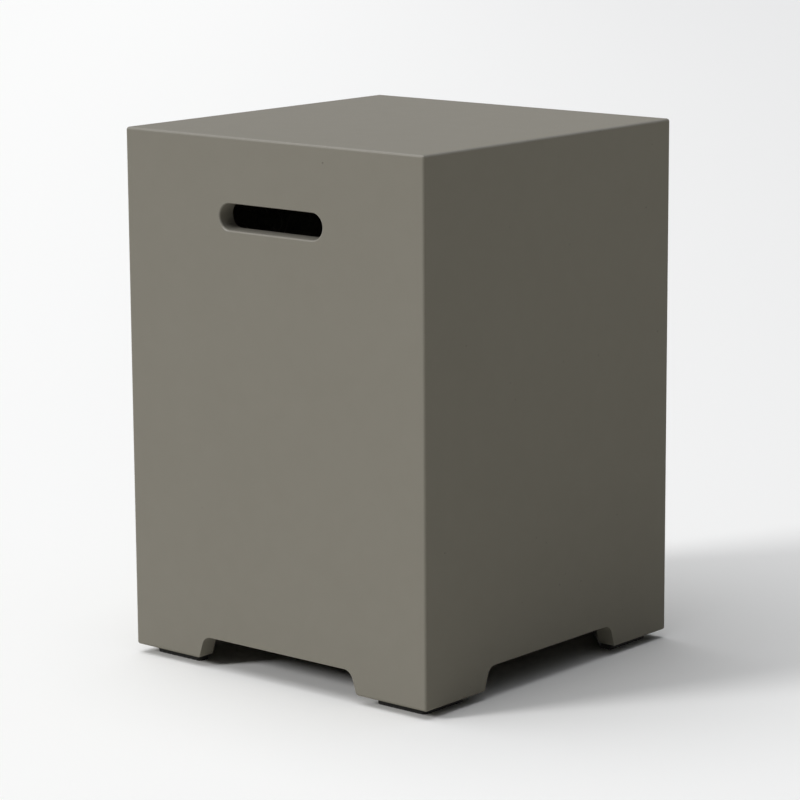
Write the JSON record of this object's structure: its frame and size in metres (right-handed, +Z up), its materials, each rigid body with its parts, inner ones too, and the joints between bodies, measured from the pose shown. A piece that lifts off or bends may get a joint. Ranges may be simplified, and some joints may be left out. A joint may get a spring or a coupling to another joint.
{
  "type": "propane tank cover table",
  "caption": "Square concrete side table, open below, that stands over a propane tank on corner legs with rubber pads and lifts off by two handle slots.",
  "frame": {"origin": "on the floor, under the middle of the table top", "axes": "+Z up, -Y out of the front wall, which has a handle slot, +X to the right seen from the front"},
  "size_m": [0.4, 0.4, 0.559],
  "materials": {
    "concrete": "matt glass-fibre concrete, warm grey, smooth from the mould",
    "rubber": "matt black",
    "steel": "stainless",
    "brass": "plain turned"
  },
  "bodies": {
    "root": {"cover_shell": "concrete", "foot_pad_front_left": "rubber", "foot_pad_front_right": "rubber", "foot_pad_back_right": "rubber", "foot_pad_back_left": "rubber", "pad_washer_front_left_a": "steel", "pad_washer_front_left_b": "steel", "pad_washer_front_right_a": "steel", "pad_washer_front_right_b": "steel", "pad_washer_back_right_a": "steel", "pad_washer_back_right_b": "steel", "pad_washer_back_left_a": "steel", "pad_washer_back_left_b": "steel", "pad_screw_front_left_a": "steel", "pad_screw_front_left_b": "steel", "pad_screw_front_right_a": "steel", "pad_screw_front_right_b": "steel", "pad_screw_back_right_a": "steel", "pad_screw_back_right_b": "steel", "pad_screw_back_left_a": "steel", "pad_screw_back_left_b": "steel", "leg_insert_front_left_a": "brass", "leg_insert_front_left_b": "brass", "leg_insert_front_right_a": "brass", "leg_insert_front_right_b": "brass", "leg_insert_back_right_a": "brass", "leg_insert_back_right_b": "brass", "leg_insert_back_left_a": "brass", "leg_insert_back_left_b": "brass"}
  },
  "joints": []
}
